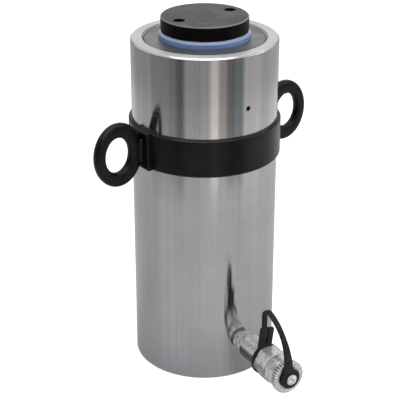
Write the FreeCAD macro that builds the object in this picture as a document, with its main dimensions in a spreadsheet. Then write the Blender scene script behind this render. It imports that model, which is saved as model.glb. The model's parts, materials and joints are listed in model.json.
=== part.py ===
import FreeCAD, Part
import math
import os
import Sketcher

# Single acting hydraulic cylinder, load return. Millimetres, +Z up.
# The origin is the centre of the base, the port points along -Y, and the
# lifting eyes stand to the left and right, turned a little about Z.

Vector = FreeCAD.Vector
Rotation = FreeCAD.Rotation
Placement = FreeCAD.Placement

DIMENSIONS = {
    # Fits and running clearances
    "thread_gap": 0.1,
    "seat_gap": 0.3,
    "running_gap": 0.08,
    "ring_gap": 0.1,
    # Barrel, turned from one billet with its base
    "barrel_radius": 82.5,
    "barrel_height": 392.3,
    "wall_thickness": 17.5,
    "base_thickness": 42.0,
    "rim_chamfer": 1.7,
    "foot_chamfer": 2.0,
    "floor_fillet": 4.0,
    "recess_step": 3.0,
    "gland_length": 49.2,
    "gland_sink": 1.1,
    "mouth_chamfer": 1.0,
    # Tapped holes in the base
    "base_hole_radius": 8.75,
    "base_hole_depth": 25.0,
    "base_hole_inset": 17.5,
    "base_hole_count": 4,
    # Oil port and breather
    "port_height": 48.0,
    "port_tap_radius": 8.4,
    "port_tap_depth": 15.0,
    "port_passage_radius": 3.5,
    "port_face_radius": 15.0,
    "port_face_depth": 1.5,
    "breather_drop": 60.3,
    "breather_turn": 3.5,
    "breather_tap_radius": 2.6,
    "breather_tap_depth": 10.5,
    "breather_passage_radius": 1.2,
    "breather_length": 7.0,
    "breather_sink": 1.4,
    "breather_socket": 1.25,
    # Plunger with its piston
    "rod_side_room": 17.5,
    "plunger_rise": 7.3,
    "floor_gap": 0.3,
    "piston_length": 49.4,
    "piston_gap": 0.4,
    "nose_length": 12.0,
    "nose_inset": 6.0,
    "seal_depth": 7.5,
    "seal_height": 7.0,
    "backup_height": 2.6,
    "seal_start": 16.0,
    "wear_depth": 2.6,
    "wear_height": 14.0,
    "wear_start": 31.0,
    "wear_split": 2.0,
    "seal_lip": 2.2,
    # Saddle
    "saddle_overhang": 1.4,
    "saddle_thickness": 16.6,
    "saddle_spigot_inset": 23.5,
    "saddle_spigot_length": 20.0,
    "saddle_chamfer": 1.2,
    "saddle_hole_radius": 6.5,
    "saddle_hole_inset": 13.9,
    "saddle_hole_depth": 8.0,
    # Gland nut, its bearing, wiper and outer seal
    "bearing_depth": 2.9,
    "bearing_length": 24.0,
    "bearing_start": 6.0,
    "wiper_thickness": 3.6,
    "wiper_seat": 6.0,
    "wiper_side": 5.8,
    "wiper_rise": 2.2,
    "wiper_lip": 1.0,
    "gland_chamfer": 0.8,
    "gland_seal_height": 3.2,
    "gland_seal_depth": 2.4,
    "gland_seal_start": 3.0,
    # Lifting band with its two welded pads
    "band_thickness": 3.7,
    "band_drop": 134.2,
    "band_width": 43.0,
    "band_chamfer": 1.6,
    "pad_thickness": 4.2,
    "pad_width": 32.0,
    "pad_fillet": 1.6,
    "eye_turn": 6.0,
    # Lifting eyes
    "eye_stand": 29.6,
    "eye_hole_width": 31.4,
    "eye_hole_height": 40.8,
    "eye_width": 61.0,
    "eye_height": 73.6,
    "eye_shift": 1.8,
    "eye_thickness": 11.6,
    "eye_rounding": 5.2,
    # Port nipple. Places along the port are counted out from its spot face.
    "nipple_radius": 8.3,
    "nipple_bore": 3.5,
    "nipple_start": -14.0,
    "nipple_hex_at": 3.0,
    "nipple_hex_length": 16.0,
    "nipple_flats": 22.0,
    "nipple_end": 31.0,
    # Quick coupler: back nut, body, poppet, spring and seal
    "backnut_at": 19.6,
    "backnut_radius": 14.5,
    "backnut_chamfer": 1.5,
    "backnut_tap_end": 32.0,
    "backnut_bore": 3.5,
    "backnut_thread_radius": 11.0,
    "backnut_end": 66.0,
    "spring_seat_at": 47.0,
    "spring_seat_radius": 7.5,
    "coupler_at": 56.5,
    "coupler_flats": 34.0,
    "coupler_hex_end": 76.0,
    "chamber_radius": 9.0,
    "seat_at": 79.0,
    "seat_radius": 5.0,
    "seat_cone": 4.0,
    "socket_at": 85.0,
    "socket_radius": 8.0,
    "socket_groove_at": 88.0,
    "socket_groove_width": 2.6,
    "socket_groove_radius": 9.6,
    "nose_end": 95.0,
    "nose_thread_radius": 15.5,
    "nose_chamfer": 1.2,
    "poppet_travel": 3.0,
    "poppet_guide_radius": 6.4,
    "poppet_head_at": 69.0,
    "poppet_back": 65.0,
    "poppet_pin_radius": 2.6,
    "poppet_pin_end": 89.0,
    "spring_mean_radius": 5.0,
    "spring_wire_radius": 0.8,
    "spring_turns": 5,
    # Dust cap, its gasket, rivet and strap
    "cap_at": 77.0,
    "cap_bore": 15.8,
    "cap_radius": 17.8,
    "cap_flange_radius": 19.4,
    "cap_flange_at": 93.0,
    "cap_flange_groove": 0.8,
    "cap_wall_at": 96.0,
    "cap_face_at": 100.0,
    "cap_chamfer": 0.9,
    "knurl_radius": 0.9,
    "knurl_count": 36,
    "gasket_radius": 15.0,
    "gasket_hole": 6.0,
    "rivet_radius": 3.0,
    "rivet_head_radius": 6.3,
    "rivet_head_height": 2.6,
    "rivet_tail_radius": 5.0,
    "rivet_tail_height": 0.7,
    "strap_ring_at": 51.0,
    "strap_ring_width": 5.2,
    "strap_ring_radius": 18.6,
    "strap_block_width": 17.0,
    "strap_block_height": 40.0,
    "strap_block_shift": 4.5,
    "strap_slot_width": 1.6,
    "strap_lean": 8.0,
    "strap_tape_width": 6.5,
    "strap_tape_thickness": 3.4,
    "strap_rise": 57.0,
    "strap_bend": 8.0,
    "strap_bend_angle": 72.5,
    "eyelet_radius": 12.0,
    "eyelet_thickness": 3.6,
}


class Size:
    """A size as a number together with the sheet's formula for it."""

    def __init__(self, value, formula):
        self.value = float(value)
        self.formula = formula

    @staticmethod
    def of(thing):
        return thing if isinstance(thing, Size) else Size(thing, repr(float(thing)))

    def join(self, other, sign, result):
        return Size(result, "(%s %s %s)" % (self.formula, sign, other.formula))

    def __add__(self, other):
        other = Size.of(other)
        return self.join(other, "+", self.value + other.value)

    def __radd__(self, other):
        return Size.of(other) + self

    def __sub__(self, other):
        other = Size.of(other)
        return self.join(other, "-", self.value - other.value)

    def __rsub__(self, other):
        return Size.of(other) - self

    def __mul__(self, other):
        other = Size.of(other)
        return self.join(other, "*", self.value * other.value)

    def __truediv__(self, other):
        other = Size.of(other)
        return self.join(other, "/", self.value / other.value)

    def __neg__(self):
        return Size.of(0.0) - self


doc = FreeCAD.newDocument("hydraulic_cylinder")
sheet = doc.addObject("Spreadsheet::Sheet", "Sizes")
for line, (alias, number) in enumerate(DIMENSIONS.items(), start=1):
    sheet.set("A%d" % line, alias)
    sheet.set("B%d" % line, str(number))
    sheet.setAlias("B%d" % line, alias)
doc.recompute()

NOUGHT = Size(0.0, "0")
ROOT_THREE = Size(math.sqrt(3.0), "sqrt(3)")
subparts = []


def size(alias):
    return Size(DIMENSIONS[alias], "Sizes." + alias)


# Radii that follow from the barrel's
barrel_radius = size("barrel_radius")
bore_radius = barrel_radius - size("wall_thickness")
recess_radius = bore_radius + size("recess_step")
piston_radius = bore_radius - size("piston_gap")
plunger_radius = bore_radius - size("rod_side_room")
gland_bore = plunger_radius + size("piston_gap")
wiper_radius = plunger_radius + size("wiper_thickness")
saddle_radius = plunger_radius + size("saddle_overhang")
spigot_radius = plunger_radius - size("saddle_spigot_inset")
band_radius = barrel_radius + size("band_thickness")
pad_reach = band_radius + size("pad_thickness")
eye_reach = pad_reach + size("eye_stand")
port_face = barrel_radius - size("port_face_depth")

# Heights that follow from the barrel's
gland_top = size("barrel_height") - size("gland_sink")
recess_floor = gland_top - size("gland_length")
piston_bottom = size("base_thickness") + size("floor_gap")
piston_top = piston_bottom + size("piston_length")
plunger_top = size("barrel_height") + size("plunger_rise")
breather_height = size("barrel_height") - size("breather_drop")
band_bottom = size("barrel_height") - size("band_drop")
band_middle = band_bottom + size("band_width") / 2.0


def new_body(label):
    body = doc.addObject("PartDesign::Body", label)
    body.Label = label
    subparts.append(body)
    return body


def new_sketch(body, name, role, offset=None):
    """A sketch on one of the body's own origin planes, moved out along its normal."""
    plane = [one for one in body.Origin.OriginFeatures if one.Role == role][0]
    sketch = body.newObject("Sketcher::SketchObject", name)
    sketch.AttachmentSupport = [(plane, "")]
    sketch.MapMode = "FlatFace"
    if offset is not None:
        sketch.AttachmentOffset = Placement(Vector(0, 0, offset.value), Rotation())
        sketch.setExpression("AttachmentOffset.Base.z", offset.formula)
    return sketch


def swing_sketch(sketch, reach, turn):
    """Swings a sketch that stands off the body's Z axis round that axis."""
    angle = math.radians(turn.value)
    sketch.AttachmentOffset = Placement(
        Vector(reach.value * math.sin(angle), 0, reach.value * math.cos(angle)),
        Rotation(Vector(0, 1, 0), turn.value))
    degrees = "(%s * 1 deg)" % turn.formula
    sketch.setExpression("AttachmentOffset.Base.x", "%s * sin%s" % (reach.formula, degrees))
    sketch.setExpression("AttachmentOffset.Base.z", "%s * cos%s" % (reach.formula, degrees))
    sketch.setExpression("AttachmentOffset.Rotation.Angle", turn.formula)


def dimension(sketch, kind, geometry, measure):
    """Adds one dimension to a sketch and binds it to the sheet."""
    index = sketch.addConstraint(Sketcher.Constraint(kind, *geometry, measure.value))
    sketch.setExpression("Constraints[%d]" % index, measure.formula)


def pin(sketch, curve, end, across, up):
    """Holds a point of a curve at a place given by two sizes."""
    for kind, measure, axis in (("DistanceX", across, -2), ("DistanceY", up, -1)):
        if measure is NOUGHT:
            sketch.addConstraint(Sketcher.Constraint("PointOnObject", curve, end, axis))
        else:
            dimension(sketch, kind, (curve, end), measure)


def draw_outline(sketch, corners):
    """A closed outline of straight lines whose corners are pinned to sizes."""
    points = [Vector(across.value, up.value, 0) for across, up in corners]
    first = sketch.GeometryCount
    count = len(points)
    for index, point in enumerate(points):
        sketch.addGeometry(Part.LineSegment(point, points[(index + 1) % count]), False)
    for index in range(count):
        after = first + (index + 1) % count
        sketch.addConstraint(Sketcher.Constraint("Coincident", first + index, 2, after, 1))
    for index, (across, up) in enumerate(corners):
        pin(sketch, first + index, 1, across, up)


def draw_circle(sketch, across, up, radius):
    centre = Vector(across.value, up.value, 0)
    curve = sketch.addGeometry(Part.Circle(centre, Vector(0, 0, 1), radius.value), False)
    dimension(sketch, "Radius", (curve,), radius)
    pin(sketch, curve, 3, across, up)


def draw_oval(sketch, across, width, height):
    """An upright oval with its centre on the sketch's horizontal axis."""
    centre = Vector(across.value, 0, 0)
    upper = centre + Vector(0, height.value / 2, 0)
    side = centre + Vector(width.value / 2, 0, 0)
    curve = sketch.addGeometry(Part.Ellipse(upper, side, centre), False)
    sketch.exposeInternalGeometry(curve)
    sketch.addConstraint(Sketcher.Constraint("Vertical", curve + 1))
    dimension(sketch, "Distance", (curve + 1,), height)
    dimension(sketch, "Distance", (curve + 2,), width)
    pin(sketch, curve, 3, across, NOUGHT)


def draw_hexagon(sketch, flats):
    """A hexagon about the origin with flats at the top and bottom."""
    half = flats / 2.0
    corner = flats / ROOT_THREE
    side = corner / 2.0
    draw_outline(sketch, [(corner, NOUGHT), (side, half), (-side, half),
                          (-corner, NOUGHT), (-side, -half), (side, -half)])


def add_turned(body, name, outlines, kind="PartDesign::Revolution"):
    """Turns closed outlines of (radius, height) about the body's Z axis."""
    sketch = new_sketch(body, name + "_section", "XZ_Plane")
    for outline in outlines:
        draw_outline(sketch, outline)
    turned = body.newObject(kind, name)
    turned.Profile = sketch
    turned.ReferenceAxis = (sketch, ["V_Axis"])
    turned.Angle = 360
    return turned


def turned_body(label, outline):
    body = new_body(label)
    add_turned(body, label + "_turned", [outline])
    return body


def add_extruded(body, name, sketch, kind, length, backwards=False):
    feature = body.newObject(kind, name)
    feature.Profile = sketch
    feature.Length = length.value
    feature.setExpression("Length", length.formula)
    feature.Reversed = backwards
    return feature


def add_polar(body, name, original, count, angle=360.0):
    """Repeats a feature about the body's Z axis and makes that the result."""
    axis = [one for one in body.Origin.OriginFeatures if one.Role == "Z_Axis"][0]
    pattern = body.newObject("PartDesign::PolarPattern", name)
    pattern.Originals = [original]
    pattern.Axis = (axis, [""])
    pattern.Angle = angle
    pattern.Occurrences = int(count.value)
    pattern.setExpression("Occurrences", count.formula)
    body.Tip = pattern
    return pattern


def face_port(body):
    """Lays a piece that was turned about Z along the port, which points to -Y."""
    body.Placement = Placement(Vector(0, -port_face.value, DIMENSIONS["port_height"]),
                               Rotation(Vector(1, 0, 0), 90))
    body.setExpression("Placement.Base.y", (-port_face).formula)
    body.setExpression("Placement.Base.z", size("port_height").formula)


def cut_hexagon(body, name, flats, start, length):
    """Cuts a hexagon out of a turned collar, which leaves its chamfered corners."""
    sketch = new_sketch(body, name + "_outline", "XY_Plane", start)
    draw_hexagon(sketch, flats)
    draw_circle(sketch, NOUGHT, NOUGHT, flats)
    add_extruded(body, name, sketch, "PartDesign::Pocket", length, backwards=True)


def circular_edges(feature, radius, height=None):
    """Names of a feature's full circles of one radius about Z, at one height if given."""
    names = []
    for index, edge in enumerate(feature.Shape.Edges, start=1):
        curve = edge.Curve
        if curve.TypeId != "Part::GeomCircle" or abs(curve.Radius - radius.value) > 1e-4:
            continue
        if height is None or abs(curve.Center.z - height.value) < 1e-4:
            names.append("Edge%d" % index)
    return names


def add_edge_feature(body, name, kind, base, edges, measure, prop):
    feature = body.newObject(kind, name)
    feature.Base = (base, edges)
    setattr(feature, prop, measure.value)
    feature.setExpression(prop, measure.formula)
    return feature


def make_barrel():
    """Body and base in one piece, bored from the top, with base holes and port."""
    outer = barrel_radius
    top = size("barrel_height")
    chamfer = size("rim_chamfer")
    foot = size("foot_chamfer")
    bore = bore_radius
    recess = recess_radius
    floor = size("base_thickness")
    mouth = size("mouth_chamfer")
    body = new_body("barrel")
    add_turned(body, "barrel_turned", [[
        (NOUGHT, NOUGHT), (outer - foot, NOUGHT), (outer, foot), (outer, top - chamfer),
        (outer - chamfer, top), (recess + mouth, top), (recess, top - mouth),
        (recess, recess_floor), (bore, recess_floor), (bore, floor), (NOUGHT, floor)]])
    doc.recompute()
    corner = circular_edges(body.Tip, bore, floor)
    add_edge_feature(body, "floor_corner", "PartDesign::Fillet", body.Tip, corner,
                     size("floor_fillet"), "Radius")

    holes = new_sketch(body, "base_hole_outline", "XY_Plane")
    reach = (outer - size("base_hole_inset")) * Size(math.sqrt(0.5), "sqrt(0.5)")
    draw_circle(holes, reach, reach, size("base_hole_radius"))
    hole = add_extruded(body, "base_hole", holes, "PartDesign::Pocket",
                        size("base_hole_depth"), backwards=True)
    add_polar(body, "base_holes", hole, size("base_hole_count"))

    port = size("port_height")
    inside = bore - size("floor_fillet")
    cuts = (
        ("port_face", port, port_face),
        ("port_tap", port, port_face - size("port_tap_depth")),
        ("port_passage", port, inside),
        ("breather_tap", breather_height, outer - size("breather_tap_depth")),
        ("breather_passage", breather_height, inside),
    )
    for name, height, begin in cuts:
        sketch = new_sketch(body, name + "_outline", "XZ_Plane", begin)
        if name.startswith("breather"):
            swing_sketch(sketch, begin, size("breather_turn"))
        draw_circle(sketch, NOUGHT, height, size(name + "_radius"))
        length = outer + foot - begin
        add_extruded(body, name, sketch, "PartDesign::Pocket", length, backwards=True)


def make_breather_screw():
    """Drilled grub screw that lets the rod side breathe, sunk in the barrel's wall."""
    radius = size("breather_tap_radius") - size("thread_gap")
    end = barrel_radius - size("breather_sink")
    start = end - size("breather_length")
    drill = size("breather_passage_radius")
    body = turned_body("breather_screw", [
        (drill, start), (radius, start), (radius, end - drill / 2.0),
        (radius - drill / 2.0, end), (drill, end)])
    socket = new_sketch(body, "socket_outline", "XY_Plane", end)
    draw_hexagon(socket, size("breather_socket") * 2.0)
    add_extruded(body, "socket", socket, "PartDesign::Pocket", size("breather_length") / 3.0)
    swing = Rotation(Vector(0, 0, 1), DIMENSIONS["breather_turn"])
    body.Placement = Placement(Vector(0, 0, breather_height.value),
                               swing.multiply(Rotation(Vector(1, 0, 0), 90)))
    body.setExpression("Placement.Base.z", breather_height.formula)


def make_plunger():
    """Solid plunger and piston in one piece, with seal and wear ring grooves."""
    rod = plunger_radius
    top = plunger_top
    nose = bore_radius - size("nose_inset")
    seal_bottom = piston_bottom + size("seal_start")
    seal_top = seal_bottom + size("seal_height") + size("backup_height")
    seal_root = piston_radius - size("seal_depth")
    wear_bottom = piston_bottom + size("wear_start")
    wear_top = wear_bottom + size("wear_height")
    wear_root = piston_radius - size("wear_depth")
    spigot = spigot_radius + size("thread_gap")
    socket = top - size("saddle_spigot_length") - size("thread_gap")
    edge = size("rim_chamfer")
    turned_body("plunger", [
        (NOUGHT, piston_bottom), (nose, piston_bottom),
        (nose, piston_bottom + size("nose_length")),
        (piston_radius, piston_bottom + size("nose_length")),
        (piston_radius, seal_bottom), (seal_root, seal_bottom), (seal_root, seal_top),
        (piston_radius, seal_top), (piston_radius, wear_bottom), (wear_root, wear_bottom),
        (wear_root, wear_top), (piston_radius, wear_top), (piston_radius, piston_top - edge),
        (piston_radius - edge, piston_top), (rod, piston_top), (rod, top),
        (spigot, top), (spigot, socket), (NOUGHT, socket)])


def make_piston_rings():
    """The lip seal with its back-up ring, and the split wear ring."""
    gap = size("ring_gap")
    outer = bore_radius - gap
    lip = size("seal_lip")
    root = piston_radius - size("seal_depth") + gap
    bottom = piston_bottom + size("seal_start") + gap
    top = bottom + size("seal_height") - gap
    middle = (root + outer) / 2.0
    turned_body("piston_seal", [
        (root, bottom), (middle - lip / 2.0, bottom), (middle, bottom + lip),
        (middle + lip / 2.0, bottom), (outer, bottom), (outer, top), (root, top)])
    backup_top = top + size("backup_height") - gap
    turned_body("backup_ring", [
        (root, top), (outer, top), (outer, backup_top), (root, backup_top)])

    wear_bottom = piston_bottom + size("wear_start") + gap
    wear_top = wear_bottom + size("wear_height") - gap * 2.0
    wear_root = piston_radius - size("wear_depth") + gap
    ring = turned_body("piston_wear_ring", [
        (wear_root, wear_bottom), (outer, wear_bottom), (outer, wear_top),
        (wear_root, wear_top)])
    split = new_sketch(ring, "split_outline", "XZ_Plane")
    half = size("wear_split") / 2.0
    draw_outline(split, [(-half, wear_bottom - half), (half, wear_bottom - half),
                         (half, wear_top + half), (-half, wear_top + half)])
    add_extruded(ring, "split", split, "PartDesign::Pocket", bore_radius, backwards=True)


def make_saddle():
    """Load saddle, screwed into the plunger, with two pin spanner holes."""
    radius = saddle_radius
    bottom = plunger_top
    top = bottom + size("saddle_thickness")
    chamfer = size("saddle_chamfer")
    spigot = spigot_radius
    end = bottom - size("saddle_spigot_length")
    body = turned_body("saddle", [
        (NOUGHT, end), (spigot - chamfer, end), (spigot, end + chamfer), (spigot, bottom),
        (radius - chamfer, bottom), (radius, bottom + chamfer), (radius, top - chamfer),
        (radius - chamfer, top), (NOUGHT, top)])
    outline = new_sketch(body, "spanner_hole_outline", "XY_Plane", top)
    reach = radius - size("saddle_hole_inset")
    draw_circle(outline, reach, NOUGHT, size("saddle_hole_radius"))
    draw_circle(outline, -reach, NOUGHT, size("saddle_hole_radius"))
    add_extruded(body, "spanner_holes", outline, "PartDesign::Pocket",
                 size("saddle_hole_depth"))
    body.Placement = Placement(Vector(), Rotation(Vector(0, 0, 1), DIMENSIONS["eye_turn"]))
    body.setExpression("Placement.Rotation.Angle", size("eye_turn").formula)


def make_gland():
    """Gland nut that closes the barrel, with grooves for bearing, wiper and seal."""
    outer = recess_radius - size("thread_gap")
    chamfer = size("gland_chamfer")
    root = plunger_radius + size("bearing_depth") + size("ring_gap")
    bearing_bottom = recess_floor + size("bearing_start")
    bearing_top = bearing_bottom + size("bearing_length") + size("ring_gap")
    wiper_root = wiper_radius + size("ring_gap")
    wiper_floor = gland_top - size("wiper_seat")
    seal_root = outer - size("gland_seal_depth")
    seal_bottom = recess_floor + size("gland_seal_start")
    seal_top = seal_bottom + size("gland_seal_height")
    turned_body("gland_nut", [
        (gland_bore, recess_floor), (outer, recess_floor), (outer, seal_bottom),
        (seal_root, seal_bottom), (seal_root, seal_top), (outer, seal_top),
        (outer, gland_top - chamfer), (outer - chamfer, gland_top), (wiper_root, gland_top),
        (wiper_root, wiper_floor), (gland_bore, wiper_floor), (gland_bore, bearing_top),
        (root, bearing_top), (root, bearing_bottom), (gland_bore, bearing_bottom)])


def make_gland_rings():
    """Bearing ring, wiper with its raised lip, and the gland's outer seal."""
    gap = size("ring_gap")
    inner = plunger_radius + size("running_gap")
    bearing_bottom = recess_floor + size("bearing_start")
    bearing_outer = plunger_radius + size("bearing_depth")
    turned_body("rod_bearing", [
        (inner, bearing_bottom), (bearing_outer, bearing_bottom),
        (bearing_outer, bearing_bottom + size("bearing_length")),
        (inner, bearing_bottom + size("bearing_length"))])

    outer = wiper_radius
    seat = gland_top - size("wiper_seat")
    side = gland_top + size("wiper_side")
    tip = side + size("wiper_rise")
    turned_body("rod_wiper", [
        (inner, seat), (outer, seat), (outer, side), (inner + size("wiper_lip"), tip),
        (inner, tip)])

    recess = recess_radius - gap
    root = recess - size("gland_seal_depth") + gap
    bottom = recess_floor + size("gland_seal_start") + gap
    top = bottom + size("gland_seal_height") - gap * 2.0
    middle = (bottom + top) / 2.0
    turned_body("gland_seal", [
        (root, middle - gap * 5.0), (root + gap * 5.0, bottom), (recess - gap * 5.0, bottom),
        (recess, middle - gap * 5.0), (recess, middle + gap * 5.0), (recess - gap * 5.0, top),
        (root + gap * 5.0, top), (root, middle + gap * 5.0)])


def make_lifting_band():
    """Flat steel hoop round the barrel with a welded pad under each lifting eye."""
    inner = barrel_radius + size("thread_gap")
    outer = band_radius
    bottom = band_bottom
    top = bottom + size("band_width")
    chamfer = size("band_chamfer")
    body = turned_body("lifting_band", [
        (inner, bottom), (outer - chamfer, bottom), (outer, bottom + chamfer),
        (outer, top - chamfer), (outer - chamfer, top), (inner, top)])
    start = inner + (outer - inner) / 4.0
    outline = new_sketch(body, "pad_outline", "YZ_Plane", start)
    half = size("pad_width") / 2.0
    draw_outline(outline, [(-half, bottom), (half, bottom), (half, top), (-half, top)])
    pad = add_extruded(body, "pad", outline, "PartDesign::Pad", pad_reach - start)
    add_polar(body, "pads", pad, Size(2, "2"))
    doc.recompute()
    reach = pad_reach.value
    rims = [
        "Edge%d" % index
        for index, edge in enumerate(body.Tip.Shape.Edges, start=1)
        if all(abs(abs(end.X) - reach) < 1e-4 for end in edge.Vertexes)
    ]
    add_edge_feature(body, "pad_edges", "PartDesign::Fillet", body.Tip, rims,
                     size("pad_fillet"), "Radius")
    body.Placement = Placement(Vector(), Rotation(Vector(0, 0, 1), DIMENSIONS["eye_turn"]))
    body.setExpression("Placement.Rotation.Angle", size("eye_turn").formula)


def make_lifting_eye(label, half_turn):
    """Forged oval ring of rounded section with a flat foot, welded to the band's pad.

    Its hole lies a little further out than its outline, so it is thickest at the foot.
    """
    thick = size("eye_thickness") / 2.0
    body = new_body(label)
    ring = new_sketch(body, label + "_ring_outline", "XY_Plane", -thick)
    draw_oval(ring, -size("eye_shift"), size("eye_width"), size("eye_height"))
    draw_oval(ring, NOUGHT, size("eye_hole_width"), size("eye_hole_height"))
    add_extruded(body, label + "_ring", ring, "PartDesign::Pad", size("eye_thickness"))
    doc.recompute()
    rims = ["Edge%d" % index for index, edge in enumerate(body.Tip.Shape.Edges, start=1)
            if edge.Curve.TypeId == "Part::GeomEllipse"]
    add_edge_feature(body, label + "_rounding", "PartDesign::Fillet", body.Tip, rims,
                     size("eye_rounding"), "Radius")
    outline = new_sketch(body, label + "_foot_outline", "XY_Plane", -thick - 1.0)
    foot = -size("eye_stand")
    edge = -size("eye_height")
    draw_outline(outline, [(edge, edge), (foot, edge), (foot, -edge), (edge, -edge)])
    add_extruded(body, label + "_foot", outline, "PartDesign::Pocket",
                 size("eye_thickness") + 2.0, backwards=True)
    turn = DIMENSIONS["eye_turn"] + half_turn
    upright = Rotation(Vector(0, 0, 1), turn).multiply(Rotation(Vector(1, 0, 0), 90))
    reach = eye_reach.value
    place = Vector(reach * math.cos(math.radians(turn)), reach * math.sin(math.radians(turn)),
                   band_middle.value)
    body.Placement = Placement(place, upright)
    angle = "(%s + %s) * 1 deg" % (size("eye_turn").formula, half_turn)
    out = eye_reach.formula
    body.setExpression("Placement.Base.x", "%s * cos(%s)" % (out, angle))
    body.setExpression("Placement.Base.y", "%s * sin(%s)" % (out, angle))
    body.setExpression("Placement.Base.z", band_middle.formula)


def make_port_nipple():
    """Double ended nipple with a hexagon, screwed into the port."""
    stud = size("nipple_radius")
    hole = size("nipple_bore")
    start = size("nipple_start")
    near = size("nipple_hex_at")
    far = near + size("nipple_hex_length")
    end = size("nipple_end")
    corner = size("nipple_flats") / ROOT_THREE
    bevel = corner - size("nipple_flats") / 2.0
    body = turned_body("port_nipple", [
        (hole, start), (stud - 1.0, start), (stud, start + 1.0), (stud, near),
        (corner - bevel, near), (corner, near + bevel / 2.0), (corner, far - bevel / 2.0),
        (corner - bevel, far), (stud, far), (stud, end - 1.0), (stud - 1.0, end),
        (hole, end)])
    cut_hexagon(body, "nipple_hexagon", size("nipple_flats"), near,
                size("nipple_hex_length"))
    face_port(body)


def make_coupler():
    """Back nut and body of the quick coupler, screwed together round the valve."""
    gap = size("thread_gap")
    neck = size("backnut_radius")
    chamfer = size("backnut_chamfer")
    at = size("backnut_at")
    end = size("backnut_end")
    thread = size("backnut_thread_radius")
    tap = size("nipple_radius") + gap
    joint = size("coupler_at")
    turned_body("coupler_backnut", [
        (tap, at), (neck - chamfer, at), (neck, at + chamfer), (neck, joint),
        (thread, joint), (thread, end), (size("spring_seat_radius"), end),
        (size("spring_seat_radius"), size("spring_seat_at")),
        (size("backnut_bore"), size("spring_seat_at")),
        (size("backnut_bore"), size("backnut_tap_end")), (tap, size("backnut_tap_end"))])
    face_port(subparts[-1])

    corner = size("coupler_flats") / ROOT_THREE
    bevel = corner - size("coupler_flats") / 2.0
    hex_end = size("coupler_hex_end")
    nose = size("nose_thread_radius")
    nose_end = size("nose_end")
    nose_chamfer = size("nose_chamfer")
    chamber = size("chamber_radius")
    socket = size("socket_radius")
    groove = size("socket_groove_at")
    groove_end = groove + size("socket_groove_width")
    seat_end = size("seat_at") + size("seat_cone")
    body = turned_body("coupler_body", [
        (thread + gap, joint), (corner - bevel, joint), (corner, joint + bevel / 2.0),
        (corner, hex_end - bevel / 2.0), (corner - bevel, hex_end), (nose, hex_end),
        (nose, nose_end - nose_chamfer), (nose - nose_chamfer, nose_end), (socket, nose_end),
        (socket, groove_end), (size("socket_groove_radius"), groove_end),
        (size("socket_groove_radius"), groove), (socket, groove),
        (socket, size("socket_at")), (size("seat_radius"), size("socket_at")),
        (size("seat_radius"), seat_end), (chamber, size("seat_at")), (chamber, end + gap),
        (thread + gap, end + gap)])
    cut_hexagon(body, "coupler_hexagon", size("coupler_flats"), joint, hex_end - joint)
    face_port(body)


def make_coupler_valve():
    """Poppet that the hose half pushes open, its spring, and the socket's seal."""
    gap = size("ring_gap")
    clear = size("seat_gap")
    head = size("chamber_radius") - clear
    pin_radius = size("poppet_pin_radius")
    guide = size("poppet_guide_radius")
    shoulder = size("seat_at") - clear
    tip = size("seat_at") + size("seat_cone") - clear
    body = turned_body("coupler_poppet", [
        (NOUGHT, size("poppet_back")), (guide, size("poppet_back")),
        (guide, size("poppet_head_at")), (head, size("poppet_head_at")), (head, shoulder),
        (size("seat_radius") - clear, tip), (pin_radius, tip),
        (pin_radius, size("poppet_pin_end")), (NOUGHT, size("poppet_pin_end"))])
    face_port(body)

    middle = size("socket_groove_at") + size("socket_groove_width") / 2.0
    half = size("socket_groove_width") / 2.0 - gap
    inner = size("socket_radius") - gap * 2.0
    outer = size("socket_groove_radius") - gap
    seal = turned_body("coupler_seal", [
        (inner, middle - half / 2.0), (inner + half / 2.0, middle - half),
        (outer, middle - half), (outer, middle + half), (inner + half / 2.0, middle + half),
        (inner, middle + half / 2.0)])
    face_port(seal)


def make_coupler_spring():
    """Coil spring behind the poppet, each half turn one arc in a tilted plane."""
    mean = DIMENSIONS["spring_mean_radius"]
    wire = DIMENSIONS["spring_wire_radius"]
    turns = int(DIMENSIONS["spring_turns"])
    start = DIMENSIONS["spring_seat_at"] + wire + DIMENSIONS["ring_gap"]
    end = DIMENSIONS["poppet_back"] - wire - DIMENSIONS["ring_gap"]
    rise = (end - start) / (2 * turns)
    halves = []
    for index in range(2 * turns):
        side = 1 if index % 2 == 0 else -1
        low = start + rise * index
        first = Vector(side * mean, 0, low)
        chord = Vector(-2 * side * mean, 0, rise)
        along = Vector(0, side, 0)
        ring = Part.Face(Part.Wire(Part.makeCircle(wire, first, along)))
        halves.append(ring.revolve(first + chord * 0.5, along.cross(chord), 180))
    spring = doc.addObject("Part::Feature", "coupler_spring")
    spring.Label = "coupler_spring"
    spring.Shape = halves[0].multiFuse(halves[1:]).Solids[0]
    spring.Placement = Placement(Vector(0, -port_face.value, DIMENSIONS["port_height"]),
                                 Rotation(Vector(1, 0, 0), 90))
    subparts.append(spring)


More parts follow.
